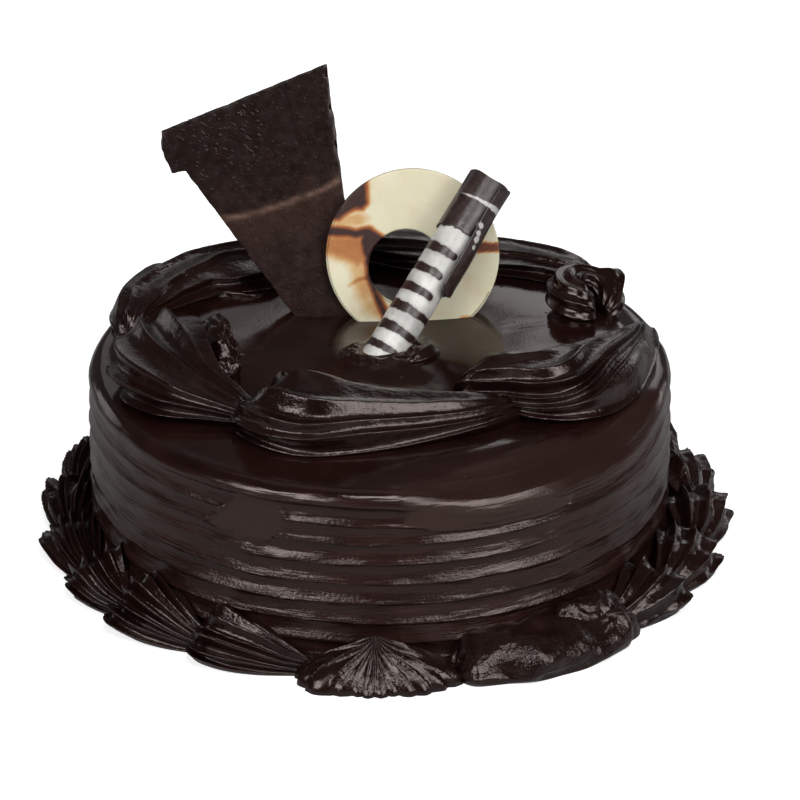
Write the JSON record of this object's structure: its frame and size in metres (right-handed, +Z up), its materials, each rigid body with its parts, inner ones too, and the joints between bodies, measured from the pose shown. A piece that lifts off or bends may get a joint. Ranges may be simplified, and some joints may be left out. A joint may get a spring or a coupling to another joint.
{
  "type": "chocolate truffle cake",
  "caption": "Round iced chocolate cake with combed sides, piped swags on the top edge, a piped shell border and a chocolate garnish of a shard, a marbled ring and a striped roll.",
  "frame": {"origin": "middle of the cake's flat underside", "axes": "+Z up; the garnish faces -Y; +X to the right as seen from the front"},
  "size_m": [0.1948, 0.1958, 0.1182],
  "materials": {
    "glazed_icing": "smooth dark chocolate icing, glossy on the top and satin on the combed side",
    "piped_icing": "piped dark chocolate icing, glossy",
    "dark_chocolate": "dark chocolate sheet with fine dots and a pale streak, satin",
    "marbled_white_chocolate": "white chocolate with brown marbling, satin",
    "striped_chocolate": "dark and white striped rolled chocolate, satin"
  },
  "bodies": {
    "root": {"cake_body": "glazed_icing", "border_shell_01": "piped_icing", "border_shell_02": "piped_icing", "border_shell_03": "piped_icing", "border_shell_04": "piped_icing", "border_shell_05": "piped_icing", "border_shell_06": "piped_icing", "border_shell_07": "piped_icing", "border_shell_08": "piped_icing", "border_shell_09": "piped_icing", "border_shell_10": "piped_icing", "border_shell_11": "piped_icing", "border_shell_12": "piped_icing", "border_shell_13": "piped_icing", "border_shell_14": "piped_icing", "border_shell_15": "piped_icing", "border_shell_16": "piped_icing", "border_shell_17": "piped_icing", "border_shell_18": "piped_icing", "border_shell_19": "piped_icing", "border_shell_20": "piped_icing", "border_shell_21": "piped_icing", "border_smear": "piped_icing", "rosette": "piped_icing", "swag_right": "piped_icing", "swag_front": "piped_icing", "swag_left": "piped_icing", "swag_back_left": "piped_icing", "swag_back_right": "piped_icing", "icing_lip": "piped_icing", "chocolate_shard": "dark_chocolate", "chocolate_ring": "marbled_white_chocolate", "chocolate_roll": "striped_chocolate"}
  },
  "joints": []
}
